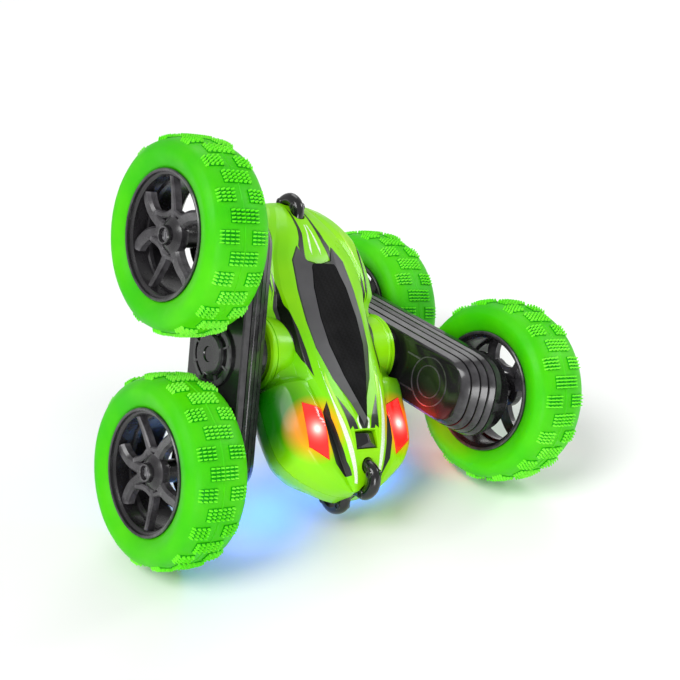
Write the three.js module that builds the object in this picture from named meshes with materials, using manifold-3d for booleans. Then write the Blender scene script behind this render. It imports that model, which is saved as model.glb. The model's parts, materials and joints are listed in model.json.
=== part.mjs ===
// A double-sided radio-controlled stunt car: a lens-shaped body hangs between two long swing arms, each arm
// turns without limit about one cross axis and carries a front and a rear wheel geared together inside it.
// The car stands here on three tyres, with its right arm raised and its nose down. Millimetres, +Z up, the
// nose towards -Y, so the car's left is +X.

import * as THREE from "three";
import { mergeVertices } from "three/addons/utils/BufferGeometryUtils.js";
import Module from "manifold-3d";

const wasm = await Module();
wasm.setup();

// ---------------------------------------------------------------- driving dimensions
const GAP = 0.3; // between two pieces that rest on each other

const TYRE_R = 49;
const WHEEL_X = 85.1; // centre plane of a wheel, from the car's middle
const AXLE_Y = 58; // an arm's pivot to either of its axles
const WHEEL_SIDES = 24;

const RIM_LIP_R = 31.8;
const RIM_BARREL_R = 30.2;
const RIM_WALL = 2;
const RIM_HALF_W = 15.4;
const SPOKES = [[-30, 3], [30, 3], [-77, 1.5], [77, 1.5], [-143, 3.3], [143, 3.3]]; // degrees, half width
const SPOKE_AXIS = { right_front: -78, right_rear: -65, left_front: 20, left_rear: 60 }; // from +y
const HUB_R = 6;
const AXLE_R = 2;

const ARM_FACE_X = 45.2; // inboard face of an arm
const ARM_PART_X = 56; // where its two cases meet
const ARM_OUT_X = 63.4; // outboard face between the wheels
const ARM_END_X = 70; // outboard face inside a rim
const ARM_HALF_W = 22.5;
const ARM_WALL = 1.8;
const ARM_END_POWER = 0.77; // 1 would make its ends round, less squares them off
const POST_R = 4;

const GEAR_TEETH = { drive: 10, idler: 12, wheel: 12 };
const GEAR_MODULE = AXLE_Y / (GEAR_TEETH.drive / 2 + GEAR_TEETH.idler + GEAR_TEETH.wheel / 2);
const GEAR_X = [56.8, 61.2];
const RUNNING_FIT = 0.25;
const IDLER_Y = (GEAR_MODULE * (GEAR_TEETH.drive + GEAR_TEETH.idler)) / 2;

const COLLAR_R = 20.5; // round boss on the body's side, around the pivot
const COLLAR_X = 41.5;
const COLLAR_ROOT = { x: 22, r: 18.6 }; // where the boss sinks into the body's ridge
const PIVOT_DISC_R = 16.4;
const SLEEVE_R = 9.5;
const SLEEVE_BORE_R = 7;
const SLEEVE_END_X = 30;

const BODY_WALL = 2.2;
const SEAM_HALF_GAP = GAP / 2;
const BUMPER_TUBE_R = 3.6;
const BUMPER_HOLE_R = 4.2;

// How the car stands. Angles turn about the pivot axis, up from the line that points to the tail.
const RAISED_ARM_ANGLE = THREE.MathUtils.degToRad(77.3);
const LEVEL_ARM_ANGLE = 0;
const BODY_ANGLE = THREE.MathUtils.degToRad(45.4);
// The lean at which the raised arm's lower tyre and both tyres of the level arm share one floor.
const LEAN = Math.atan((AXLE_Y * Math.sin(RAISED_ARM_ANGLE)) / (2 * WHEEL_X));

// ---------------------------------------------------------------- materials
const paint = (color, roughness, metalness = 0) =>
  new THREE.MeshStandardMaterial({ color, roughness, metalness });
const SHELL = paint(0x8fdc0a, 0.3);
const TYRE = paint(0x35c708, 0.6);
const BLACK = paint(0x1c1b1d, 0.35);
const GLASS = paint(0x0c0c0d, 0.12);
const RED_LENS = paint(0xe03028, 0.15);
const BLUE_LENS = paint(0x4a9cff, 0.15);
const GEAR = paint(0xe8e4d8, 0.45);
const STEEL = paint(0xb8bcc0, 0.25, 1);
const BOARD = paint(0x136b3a, 0.5);
const BATTERY = paint(0x2f7de0, 0.4);

// ---------------------------------------------------------------- solids
function toSolid(geometry) {
  const bare = geometry.clone();
  bare.deleteAttribute("normal");
  bare.deleteAttribute("uv");
  const merged = mergeVertices(bare, 1e-4);
  return new wasm.Manifold(
    new wasm.Mesh({
      numProp: 3,
      vertProperties: merged.attributes.position.array,
      triVerts: new Uint32Array(merged.index.array),
    }),
  );
}

function toMesh(name, solid, material) {
  const { numProp, vertProperties, triVerts } = solid.getMesh();
  const points = new Float32Array((vertProperties.length / numProp) * 3);
  for (let i = 0; i < points.length / 3; i++) {
    points.set(vertProperties.subarray(i * numProp, i * numProp + 3), i * 3);
  }
  const geometry = new THREE.BufferGeometry();
  geometry.setAttribute("position", new THREE.BufferAttribute(points, 3));
  geometry.setIndex(new THREE.BufferAttribute(triVerts, 1));
  geometry.computeVertexNormals();
  const mesh = new THREE.Mesh(geometry, material);
  mesh.name = name;
  return mesh;
}

const joinAll = (solids) => solids.reduce((a, b) => a.add(b));

// A drawing in the (y, z) plane becomes a solid between two stations along x.
const ALONG_X = new THREE.Matrix4().makeBasis(
  new THREE.Vector3(0, 1, 0),
  new THREE.Vector3(0, 0, 1),
  new THREE.Vector3(1, 0, 0),
);

function plateX(outline, x0, x1, holes = []) {
  const shape = new THREE.Shape(outline.map(([y, z]) => new THREE.Vector2(y, z)));
  shape.holes = holes.map((hole) => new THREE.Path(hole.map(([y, z]) => new THREE.Vector2(y, z))));
  const geometry = new THREE.ExtrudeGeometry(shape, { depth: x1 - x0, bevelEnabled: false });
  return toSolid(geometry.applyMatrix4(ALONG_X).translate(x0, 0, 0));
}

function plateZ(outline, z0, z1) {
  const shape = new THREE.Shape(outline.map(([x, y]) => new THREE.Vector2(x, y)));
  const geometry = new THREE.ExtrudeGeometry(shape, { depth: z1 - z0, bevelEnabled: false });
  return toSolid(geometry.translate(0, 0, z0));
}

function circle(radius, sides, cx = 0, cy = 0) {
  return Array.from({ length: sides }, (_, i) => {
    const angle = (i / sides) * 2 * Math.PI;
    return [cx + radius * Math.cos(angle), cy + radius * Math.sin(angle)];
  });
}

// Every edge of a closed outline, moved outwards by one distance.
function grown(outline, distance) {
  const count = outline.length;
  const turn = Math.sign(THREE.ShapeUtils.area(outline.map(([x, y]) => new THREE.Vector2(x, y))));
  const edge = (i) => {
    const [x0, y0] = outline[(i + count) % count];
    const [x1, y1] = outline[(i + 1) % count];
    const length = Math.hypot(x1 - x0, y1 - y0);
    const normal = [(turn * (y1 - y0)) / length, (-turn * (x1 - x0)) / length];
    return { normal, reach: normal[0] * x0 + normal[1] * y0 + distance };
  };
  return outline.map((_, i) => {
    const a = edge(i - 1);
    const b = edge(i);
    const det = a.normal[0] * b.normal[1] - a.normal[1] * b.normal[0];
    return [
      (a.reach * b.normal[1] - b.reach * a.normal[1]) / det,
      (a.normal[0] * b.reach - b.normal[0] * a.reach) / det,
    ];
  });
}

const rodX = (radius, x0, x1, sides = 16, y = 0) => plateX(circle(radius, sides, y), x0, x1);
const rodZ = (radius, z0, z1, sides, x, y) => plateZ(circle(radius, sides, x, y), z0, z1);

function box(x0, x1, y0, y1, z0, z1) {
  const geometry = new THREE.BoxGeometry(x1 - x0, y1 - y0, z1 - z0);
  return toSolid(geometry.translate((x0 + x1) / 2, (y0 + y1) / 2, (z0 + z1) / 2));
}

// A closed profile of (x, r) points turned about the x axis, with its true size over flats.
function turnX(profile, sides, y = 0, phase = 0) {
  const overFlats = 1 / Math.cos(Math.PI / sides);
  const points = [...profile, profile[0]].map(([x, r]) => new THREE.Vector2(r * overFlats, x));
  const geometry = new THREE.LatheGeometry(points, sides, phase);
  return toSolid(geometry.rotateZ(-Math.PI / 2).translate(0, y, 0));
}

// Equal rings of points become a closed solid with flat end caps.
function loft(rings) {
  const count = rings[0].length;
  const positions = rings.flat().flatMap((p) => [p.x, p.y, p.z]);
  const index = [];
  for (let r = 0; r + 1 < rings.length; r++) {
    for (let i = 0; i < count; i++) {
      const a = r * count + i;
      const b = r * count + ((i + 1) % count);
      index.push(a, b, a + count, b, b + count, a + count);
    }
  }
  const last = (rings.length - 1) * count;
  for (const [first, flip] of [[0, true], [last, false]]) {
    const ring = rings[first / count];
    const flat = flatten(ring);
    for (const [a, b, c] of THREE.ShapeUtils.triangulateShape(flat, [])) {
      const clockwise = THREE.ShapeUtils.isClockWise([flat[a], flat[b], flat[c]]);
      const face = clockwise === THREE.ShapeUtils.isClockWise(flat) ? [a, b, c] : [a, c, b];
      index.push(...(flip ? face.reverse() : face).map((i) => first + i));
    }
  }
  const geometry = new THREE.BufferGeometry();
  geometry.setAttribute("position", new THREE.Float32BufferAttribute(positions, 3));
  geometry.setIndex(index);
  const solid = toSolid(geometry);
  if (solid.volume() > 0) return solid;
  geometry.setIndex(index.slice().reverse());
  return toSolid(geometry);
}

// A planar ring in the two axes in which it is widest.
function flatten(ring) {
  const size = new THREE.Box3().setFromPoints(ring).getSize(new THREE.Vector3());
  if (size.x <= Math.min(size.y, size.z)) return ring.map((p) => new THREE.Vector2(p.y, p.z));
  if (size.y <= Math.min(size.x, size.z)) return ring.map((p) => new THREE.Vector2(p.x, p.z));
  return ring.map((p) => new THREE.Vector2(p.x, p.y));
}

// A section along a path in the x = const plane: a round tube.
function tube(points, radius, sides = 8, steps = 24) {
  const path = new THREE.CatmullRomCurve3(points.map(([x, y, z]) => new THREE.Vector3(x, y, z)));
  const section = new THREE.Shape(circle(radius, sides).map(([x, y]) => new THREE.Vector2(x, y)));
  return toSolid(new THREE.ExtrudeGeometry(section, { steps, extrudePath: path, bevelEnabled: false }));
}

// ---------------------------------------------------------------- wheels
// Offsets run outboard from the wheel's centre plane.
const TYRE_OUTSIDE = [[13.1, 30.5], [13.7, 32.1], [17.8, 40], [15.7, 45], [11.6, 48.3], [5.3, TYRE_R]];
const TYRE_INSIDE = [[11, 45.6], [14.6, 40], [10.2, 30.5]];

const mirrored = (points) => points.map(([x, r]) => [-x, r]);
const TYRE_PROFILE = [
  ...mirrored(TYRE_OUTSIDE), ...TYRE_OUTSIDE.slice().reverse(),
  ...TYRE_INSIDE.slice().reverse(), ...mirrored(TYRE_INSIDE),
];

const shifted = (profile) => profile.map(([x, r]) => [WHEEL_X + x, r]);

function tyre(y, phase) {
  return turnX(shifted(TYRE_PROFILE), WHEEL_SIDES, y, phase);
}

function rim(y, phase, axis) {
  const inner = RIM_BARREL_R - RIM_WALL;
  const barrel = turnX(
    shifted([
      [-RIM_HALF_W, RIM_LIP_R], [-14, RIM_LIP_R], [-13.4, RIM_BARREL_R],
      [13.4, RIM_BARREL_R], [14, RIM_LIP_R], [RIM_HALF_W, RIM_LIP_R],
      [RIM_HALF_W, inner], [-RIM_HALF_W, inner],
    ]),
    WHEEL_SIDES,
    y,
    phase,
  );
  const spokes = SPOKES.map(([angle, half]) => {
    const spoke = box(WHEEL_X + 6.5, WHEEL_X + 11.5, HUB_R - 2, inner + 1, -half, half);
    return spoke.rotate([axis + angle, 0, 0]).translate([0, y, 0]);
  });
  const hub = rodX(HUB_R, WHEEL_X - 8, WHEEL_X + 14.2, 12, y);
  const bore = rodX(AXLE_R + GAP, WHEEL_X - 10, WHEEL_X + 12, 12, y);
  const screwWell = rodX(3.6, WHEEL_X + 10, WHEEL_X + 16, 12, y);
  return joinAll([barrel, hub, ...spokes]).subtract(bore).subtract(screwWell);
}

function wheelScrew(y) {
  const head = rodX(3.1, WHEEL_X + 10 + GAP, WHEEL_X + 12.4, 12, y);
  const slot = box(WHEEL_X + 11.6, WHEEL_X + 13, y - 2.2, y + 2.2, -0.4, 0.4);
  return head.subtract(slot);
}

// Straight-flanked teeth with backlash. A tooth points along +y unless the wheel is turned by half a tooth.
function gearOutline(teeth, y, halfToothTurned) {
  const pitch = (2 * Math.PI) / teeth;
  const pitchR = (GEAR_MODULE * teeth) / 2;
  const rootR = pitchR - 0.8 * GEAR_MODULE;
  const tipR = pitchR + 0.6 * GEAR_MODULE;
  const start = halfToothTurned ? pitch / 2 : 0;
  const corners = [[rootR, -0.34], [tipR, -0.13], [tipR, 0.13], [rootR, 0.34]];
  return Array.from({ length: teeth }).flatMap((_, i) =>
    corners.map(([r, share]) => {
      const angle = start + (i + share) * pitch;
      return [y + r * Math.cos(angle), r * Math.sin(angle)];
    }),
  );
}

function gear(teeth, y, halfToothTurned, boreR) {
  const hole = circle(boreR, 10, y).reverse();
  return plateX(gearOutline(teeth, y, halfToothTurned), ...GEAR_X, [hole]);
}

// ---------------------------------------------------------------- swing arm
// A slab across x: half width, and how far its squared-off round ends reach past the pivot.
function armRing(x, halfWidth, reach) {
  const arc = 6;
  const squared = (value) => Math.sign(value) * Math.abs(value) ** ARM_END_POWER;
  const ring = [];
  for (const end of [1, -1]) {
    for (let i = 0; i <= arc; i++) {
      const angle = (i / arc - 0.5) * Math.PI;
      const y = reach - halfWidth + halfWidth * squared(i % arc ? Math.cos(angle) : 0);
      ring.push(new THREE.Vector3(x, end * y, end * halfWidth * squared(Math.sin(angle))));
    }
  }
  return ring;
}

// The arm grows outboard in tapered bands: station, half width, reach of the round ends.
const ARM_BANDS = [
  [ARM_FACE_X, 16.9, 68], [49, 18.6, 71.5], [53, 20.2, 74.5], [ARM_PART_X, 21.4, 77], [59, ARM_HALF_W, 79.5],
];

function armInnerCase() {
  const skin = loft(ARM_BANDS.slice(0, 4).map((band) => armRing(...band)));
  const disc = rodX(PIVOT_DISC_R, COLLAR_X + 0.5, ARM_FACE_X + 1, 24);
  const sleeve = rodX(SLEEVE_R, SLEEVE_END_X, ARM_FACE_X + 1, 16);
  const cavity = loft([armRing(ARM_FACE_X + ARM_WALL, 15.5, 66.8), armRing(ARM_PART_X + 1, 19.8, 75.6)]);
  const spots = [AXLE_Y, -AXLE_Y, IDLER_Y, -IDLER_Y];
  const posts = spots.map((y) => rodX(POST_R, ARM_FACE_X + 1, GEAR_X[0] - GAP, 10, y));
  const bores = spots.map((y) => rodX(AXLE_R + RUNNING_FIT, 48, 60, 10, y));
  const sleeveBore = rodX(SLEEVE_BORE_R, SLEEVE_END_X - 1, 48, 12);
  return joinAll([joinAll([skin, disc, sleeve]).subtract(cavity), ...posts])
    .subtract(joinAll(bores))
    .subtract(sleeveBore);
}

function armOuterCase() {
  const flat = ARM_BANDS[4];
  const skin = loft([
    armRing(ARM_PART_X + GAP, 21.5, 77.2), armRing(...flat), armRing(ARM_END_X, ARM_HALF_W, 79.5),
  ]);
  const ends = [AXLE_Y, -AXLE_Y].map((y) => rodX(27, ARM_PART_X, ARM_END_X + 1, 24, y));
  const slab = box(ARM_PART_X, ARM_OUT_X, -90, 90, -30, 30);
  const boss = rodX(16.5, ARM_OUT_X - 1, 65.4, 20).add(rodX(10.4, 65, 67.2, 16));
  const cavity = loft([armRing(ARM_PART_X, 19.8, 75.6), armRing(GEAR_X[1] + GAP, 20.2, 76.6)]);
  const hollows = [AXLE_Y, -AXLE_Y].map((y) => {
    const post = rodX(POST_R, GEAR_X[1] + GAP, ARM_END_X, 10, y);
    return rodX(18.6, GEAR_X[1], ARM_END_X - ARM_WALL, 16, y).subtract(post);
  });
  const pinSeats = [IDLER_Y, -IDLER_Y].map((y) => rodX(AXLE_R + RUNNING_FIT, 60, ARM_OUT_X - 0.8, 10, y));
  const bores = [AXLE_Y, -AXLE_Y].map((y) => rodX(AXLE_R + RUNNING_FIT, ARM_PART_X, ARM_END_X + 1, 10, y));
  return skin
    .intersect(joinAll([slab, ...ends]))
    .add(boss)
    .subtract(cavity)
    .subtract(joinAll([...hollows, ...pinSeats, ...bores]));
}

function pivotRing() {
  return rodX(13, SLEEVE_END_X + 0.2, 33.6, 16).subtract(rodX(SLEEVE_R + GAP, SLEEVE_END_X - 1, 35, 16));
}

function driveGear() {
  const shaft = rodX(AXLE_R, SLEEVE_END_X - 0.5, GEAR_X[0] + 1, 10);
  return plateX(gearOutline(GEAR_TEETH.drive, 0, false), ...GEAR_X).add(shaft);
}

const idlerGear = (y) => gear(GEAR_TEETH.idler, y, true, AXLE_R + RUNNING_FIT);
const idlerPin = (y) => rodX(AXLE_R, 48 + GAP, ARM_OUT_X - 1.1, 10, y);

function addAll(group, meshes) {
  for (const mesh of meshes) group.add(mesh);
}

function swingArm(side, sideSign, angle) {
  const arm = new THREE.Group();
  arm.rotation.x = angle;
  arm.scale.x = sideSign;
  const flatDown = Math.PI / WHEEL_SIDES - angle; // a flat of the faceted tyre meets the floor
  addAll(arm, [
    toMesh(`${side}_arm_inner_case`, armInnerCase(), BLACK),
    toMesh(`${side}_arm_outer_case`, armOuterCase(), BLACK),
    toMesh(`${side}_pivot_ring`, pivotRing(), BLACK),
    toMesh(`${side}_drive_gear`, driveGear(), GEAR),
  ]);
  for (const [end, sign] of [["front", -1], ["rear", 1]]) {
    const y = sign * AXLE_Y;
    const where = `${side}_${end}`;
    addAll(arm, [
      toMesh(`${where}_idler_gear`, idlerGear(sign * IDLER_Y), GEAR),
      toMesh(`${where}_idler_pin`, idlerPin(sign * IDLER_Y), STEEL),
      toMesh(`${where}_wheel_gear`, gear(GEAR_TEETH.wheel, y, false, AXLE_R + RUNNING_FIT), GEAR),
      toMesh(`${where}_axle`, rodX(AXLE_R, 48 + GAP, WHEEL_X + 9.7, 10, y), STEEL),
      toMesh(`${where}_rim`, rim(y, flatDown, SPOKE_AXIS[where]), BLACK),
      toMesh(`${where}_tyre`, tyre(y, flatDown), TYRE),
      toMesh(`${where}_wheel_screw`, wheelScrew(y), STEEL),
    ]);
  }
  return arm;
}

// ---------------------------------------------------------------- body shells
// Half sections of one shell, nose to tail. Each row is a station along the body and the points of its skin
// (x, height over the seam): seam, flank, shoulder, deck, groove, ledge, spine; then the height of the crown.
const SHELL_ROWS = [
  [-80, [9, 0], [9, 4], [8.4, 8], [7.2, 9], [6.4, 8.8], [5.6, 9.6], [4.4, 10], 10],
  [-74, [24, 0], [23, 5.5], [19, 11], [14, 12.4], [10.6, 11.8], [9.6, 14.4], [7.5, 15], 15],
  [-66, [35.5, 0], [34, 8], [29, 15], [20.5, 15.7], [13.6, 14.2], [12.4, 18], [9.5, 18.8], 18.8],
  [-56, [42.2, 0], [40.8, 9], [34, 17.3], [21.5, 18.4], [16.5, 16.8], [15.3, 20.5], [12, 21.8], 22],
  [-44, [44, 0], [42.7, 9], [35.6, 18], [23.5, 20], [19.6, 18.4], [18.3, 22], [14.5, 23.3], 23.6],
  [-32, [44.2, 0], [43, 9], [36.6, 18.4], [26, 20], [22.6, 19], [21, 22.3], [19.3, 23.4], 23.6],
  [-23, [43.4, 0], [42.4, 8.5], [38.4, 16.4], [30, 18.8], [25.5, 19], [23.2, 21.6], [19.5, 23.4], 23.6],
  [-18, [40, 0], [39, 7.5], [36.2, 12], [31, 13.4], [27.5, 14.6], [24.6, 20.6], [19.6, 23.4], 23.6],
  [18, [40, 0], [39, 7.5], [36.2, 12], [31, 13.4], [28.5, 14.6], [26, 20.4], [19.6, 23.4], 23.6],
  [26, [43, 0], [42, 8.5], [38.2, 16.4], [33, 18.8], [29.6, 18.6], [27.3, 20.8], [19.6, 23.4], 23.6],
  [42, [44, 0], [42.9, 9], [37.6, 17.8], [31.5, 20.2], [27.5, 20.1], [25.5, 21.3], [18.5, 23.2], 23.6],
  [56, [43, 0], [41.8, 9], [35, 17.7], [26.5, 20.2], [21.6, 20.3], [19.8, 21], [13, 22.6], 23],
  [68, [39.6, 0], [38, 8], [29, 15.4], [20, 17.6], [15.5, 17.7], [14, 18.2], [9, 19.3], 19.8],
  [77, [31, 0], [29.5, 6.5], [21.5, 12], [14.4, 13.8], [11, 13.9], [9.6, 14.3], [6, 15], 15.4],
  [83, [16, 0], [15, 4], [12, 7.4], [9, 8.5], [7, 8.8], [6, 9], [4, 9.4], 9.5],
];
const CAVITY_STATIONS = [-74, -56, -32, -23, -18, 18, 26, 56, 77];
const CAVITY_POINTS = [0, 1, 2, 4]; // seam, flank, shoulder, groove

function shellRing([s, ...points]) {
  const crown = points.pop();
  const right = points.map(([x, h]) => new THREE.Vector3(x, s, h));
  const left = points.map(([x, h]) => new THREE.Vector3(-x, s, h)).reverse();
  right[0].z = SEAM_HALF_GAP;
  left[left.length - 1].z = SEAM_HALF_GAP;
  return [...right, new THREE.Vector3(0, s, crown), ...left];
}

function cavityRing([s, ...points]) {
  const seamX = points[0][0];
  const narrow = (seamX - BODY_WALL) / seamX;
  const inner = CAVITY_POINTS.map((i) => [points[i][0] * narrow, points[i][1] - BODY_WALL]);
  inner[0][1] = -1;
  const right = inner.map(([x, h]) => new THREE.Vector3(x, s, h));
  return [...right, ...right.map((p) => new THREE.Vector3(-p.x, s, p.z)).reverse()];
}

// Outline of the dark canopy, half of it, nose to tail: its edge in the shell, and its flat top.
const CANOPY_EDGE = [
  [4.6, -38], [12.2, -24], [17.4, -7], [18.8, 8], [18.8, 25], [17, 42], [11.6, 50], [8.6, 42],
];
const CANOPY_TOP = [
  [3, -38], [7.5, -24], [11.4, -7], [12.2, 8], [11, 25], [9, 33], [8.4, 36.5], [7.2, 38.6],
];
const CANOPY_NOSE = -50;
const CANOPY_TAIL = 39.5;
const CANOPY_BASE_H = 20;
const CANOPY_EDGE_H = 23.7;
const CANOPY_TOP_H = 27;
const CANOPY_HOLLOW = 0.86; // its inside, as a share of its outline

function canopyOutline(half, nose, tail) {
  return [[0, nose], ...half, [0, tail], ...half.map(([x, y]) => [-x, y]).reverse()];
}

const ringAt = (outline, h) => outline.map(([x, y]) => new THREE.Vector3(x, y, h));

function canopy() {
  const edge = canopyOutline(CANOPY_EDGE, CANOPY_NOSE, CANOPY_TAIL);
  const top = canopyOutline(CANOPY_TOP, CANOPY_NOSE + 3, CANOPY_TAIL - 0.6);
  const hollow = edge.map(([x, y]) => [x * CANOPY_HOLLOW, y * CANOPY_HOLLOW]);
  const hollowTop = top.map(([x, y]) => [x * CANOPY_HOLLOW, y * CANOPY_HOLLOW]);
  const cover = loft([ringAt(edge, CANOPY_BASE_H), ringAt(edge, CANOPY_EDGE_H), ringAt(top, CANOPY_TOP_H)]);
  return cover.subtract(
    loft([
      ringAt(hollow, CANOPY_BASE_H - 1),
      ringAt(hollow, CANOPY_EDGE_H - 0.6),
      ringAt(hollowTop, CANOPY_TOP_H - BODY_WALL),
    ]),
  );
}

// The lamp window on each front pod, as corners (x, y) of its outline.
const LENS_CORNERS = [[21.6, -38.5], [32.4, -34.5], [33.4, -57], [22.6, -64]];
const LENS_H = [14.2, 20.4];

const lensHole = () => plateZ(grown(LENS_CORNERS, GAP), LENS_H[0] - 0.6, 30);

const shellSkin = () => loft(SHELL_ROWS.map(shellRing));

function lens(sideSign) {
  const raised = shellSkin().translate([0, 0, 0.25]);
  return plateZ(LENS_CORNERS, ...LENS_H).intersect(raised).scale([sideSign, 1, 1]);
}

const NOSE_BLOCK = { halfX: 6.6, y: [-61, -52.5], base: 17.2, top: 24 };
const POST_SPOTS = [[30, -30], [30, 40]]; // mirrored to both sides
const SWITCH_Y = 54.5; // behind the lower canopy
const SWITCH_TRAVEL = 3;

const ringX = (x, radius, sides) => circle(radius, sides).map(([y, z]) => new THREE.Vector3(x, y, z));

function collar() {
  const cone = loft([ringX(COLLAR_ROOT.x, COLLAR_ROOT.r, 24), ringX(COLLAR_X, COLLAR_R, 24)]);
  return cone.add(cone.scale([-1, 1, 1])).intersect(box(-50, 50, -40, 40, SEAM_HALF_GAP, 40));
}

function collarHollow() {
  const bore = rodX(SLEEVE_R + 0.5, 20, 50, 16);
  const rings = [
    ringX(COLLAR_ROOT.x - 2, COLLAR_ROOT.r - BODY_WALL, 16), ringX(COLLAR_X - 2.5, COLLAR_R - BODY_WALL, 16),
  ];
  const one = loft(rings).subtract(rodX(12.4, 34, 50, 12)).add(bore);
  return one.add(one.scale([-1, 1, 1]));
}

function shell(extraCuts = []) {
  const rows = SHELL_ROWS.filter(([s]) => CAVITY_STATIONS.includes(s));
  const cavity = loft(rows.map(cavityRing));
  const window = plateZ(grown(canopyOutline(CANOPY_EDGE, CANOPY_NOSE, CANOPY_TAIL), GAP), 10, 40);
  const lensHoles = [1, -1].map((s) => lensHole().scale([s, 1, 1]));
  const { halfX, y, base } = NOSE_BLOCK;
  const blockWell = box(-halfX - GAP, halfX + GAP, y[0] - GAP, y[1] + GAP, base - GAP, 40);
  const bumperHoles = [
    bumper([FRONT_BUMPER_ROOT, ...FRONT_BUMPER], BUMPER_HOLE_R),
    bumper([REAR_BUMPER_ROOT, ...REAR_BUMPER], BUMPER_HOLE_R),
  ];
  const cuts = [window, ...lensHoles, blockWell, ...bumperHoles, collarHollow(), ...extraCuts];
  return shellSkin().add(collar()).subtract(cavity).subtract(joinAll(cuts));
}

function switchSlot() {
  const reach = 1.6 + GAP;
  return box(-reach, reach + SWITCH_TRAVEL, SWITCH_Y - 1.5 - GAP, SWITCH_Y + 1.5 + GAP, 10, 40);
}

function powerSwitch() {
  const knob = box(-1.6, 1.6, SWITCH_Y - 1.5, SWITCH_Y + 1.5, 12, 24.2);
  return knob.add(box(-4, 4, SWITCH_Y - 3.4, SWITCH_Y + 3.4, 10.8, 13.2));
}

function noseBlock() {
  const { halfX, y, base, top } = NOSE_BLOCK;
  const rectangle = (inset) => [
    [inset - halfX, y[0] + inset], [halfX - inset, y[0] + inset],
    [halfX - inset, y[1] - inset], [inset - halfX, y[1] - inset],
  ];
  return loft([ringAt(rectangle(0), base), ringAt(rectangle(1), top)]);
}

// A bumper tube seen from the side, as (y, z): it leaves the upper deck, rounds the end of the body in two
// lobes and enters the lower deck. A root is where its hole in the shell starts.
const FRONT_BUMPER = [
  [-65.6, 11.4], [-69, 17.2], [-74.6, 20], [-80.3, 16.6], [-81.6, 9.8], [-77.6, 5], [-76.4, 0],
];
const FRONT_BUMPER_ROOT = [-64, 6.5];
const REAR_BUMPER = [
  [66.6, 10.5], [70.2, 16.4], [75.8, 19.2], [81.6, 16.4], [83.2, 10], [80.6, 5], [79.8, 0],
];
const REAR_BUMPER_ROOT = [65, 6];

function bumper(half, radius) {
  const upper = half.map(([y, z]) => [0, y, z]);
  const lower = half.slice(0, -1).reverse().map(([y, z]) => [0, y, -z]);
  return tube([...upper, ...lower], radius, 8, 24);
}

// ---------------------------------------------------------------- inside the body
function framePlate() {
  const half = [[26, -56], [33, -38], [33, -18], [29.6, -16], [29.6, 16], [33, 18], [33, 48], [22, 58]];
  const outline = [...half, ...half.map(([x, y]) => [-x, y]).reverse()];
  const motorBay = box(-26.4, 26.4, -12, 12, -10, 10);
  const battery = box(-13, 13, 13.5, 51, -10, 0);
  const spine = box(-1.2, 1.2, -13, 13, -9, 6);
  const posts = POST_SPOTS.flatMap(([x, y]) => [1, -1].map((s) => rodZ(3.2, -12, 12, 8, s * x, y)));
  return joinAll([plateZ(outline, -5.8, -4).subtract(motorBay).subtract(battery), spine, ...posts]);
}

function gearMotor() {
  const can = rodX(10, 1.6, 20, 16).intersect(box(0, 30, -11, 11, -7.6, 7.6));
  const gearbox = box(20 - GAP, 26, -9.5, 9.5, -8.5, 8.5);
  return joinAll([can, gearbox, rodX(3, 25, 29, 12)]);
}

function circuitBoard() {
  const board = box(-17, 17, -58, -14, 1.2, 2.8);
  const chips = [
    box(-9, 3, -38, -28, 2.5, 4.6), box(6, 13, -52, -44, 2.5, 5.2), box(-14, -8, -54, -46, 2.5, 4.4),
  ];
  const socket = box(-5, 5, -20, -14.6, 2.5, 8);
  return joinAll([board, ...chips, socket]);
}

function batteryPack() {
  const cells = [-5.6, 5.6].map((x) => {
    const cell = new THREE.CylinderGeometry(6.4, 6.4, 35.5, 12);
    return toSolid(cell.translate(x, 32.25, -10.2));
  });
  return joinAll([...cells, box(-5.6, 5.6, 14.5, 50, -16.2, -4.2)]);
}

function body() {
  const group = new THREE.Group();
  group.rotation.x = BODY_ANGLE;
  const upper = new THREE.Group();
  const lower = new THREE.Group();
  lower.scale.z = -1;
  addAll(upper, [
    toMesh("upper_shell", shell(), SHELL),
    toMesh("upper_canopy", canopy(), GLASS),
    toMesh("upper_nose_block", noseBlock(), BLACK),
    toMesh("upper_left_lens", lens(1), RED_LENS),
    toMesh("upper_right_lens", lens(-1), RED_LENS),
  ]);
  addAll(lower, [
    toMesh("lower_shell", shell([switchSlot()]), SHELL),
    toMesh("battery_hatch", canopy(), GLASS),
    toMesh("lower_nose_block", noseBlock(), BLACK),
    toMesh("lower_left_lens", lens(1), BLUE_LENS),
    toMesh("lower_right_lens", lens(-1), BLUE_LENS),
    toMesh("power_switch", powerSwitch(), BLACK),
  ]);
  group.add(upper, lower);
  addAll(group, [
    toMesh("front_bumper", bumper(FRONT_BUMPER, BUMPER_TUBE_R), BLACK),
    toMesh("rear_bumper", bumper(REAR_BUMPER, BUMPER_TUBE_R), BLACK),
    toMesh("frame_plate", framePlate(), BLACK),
    toMesh("right_gear_motor", gearMotor().scale([-1, 1, 1]), STEEL),
    toMesh("left_gear_motor", gearMotor(), STEEL),
    toMesh("circuit_board", circuitBoard(), BOARD),
    toMesh("battery_pack", batteryPack(), BATTERY),
  ]);
  return group;
}

// ---------------------------------------------------------------- the whole car
const car = new THREE.Group();
car.rotation.y = LEAN;
car.add(body(), swingArm("right", -1, RAISED_ARM_ANGLE), swingArm("left", 1, LEVEL_ARM_ANGLE));
const bounds = new THREE.Box3().setFromObject(car, true);
const middle = bounds.getCenter(new THREE.Vector3());
car.position.set(-middle.x, -middle.y, -bounds.min.z);

export default new THREE.Group().add(car);
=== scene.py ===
"""The looks of a double-sided stunt car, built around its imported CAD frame.

Every shape is drawn in millimetres in a frame of its own (the body's, or a swing arm's), which is worked out
from the joints and mounts, and is carried into the row frame in metres.
"""
import json
import math

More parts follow.
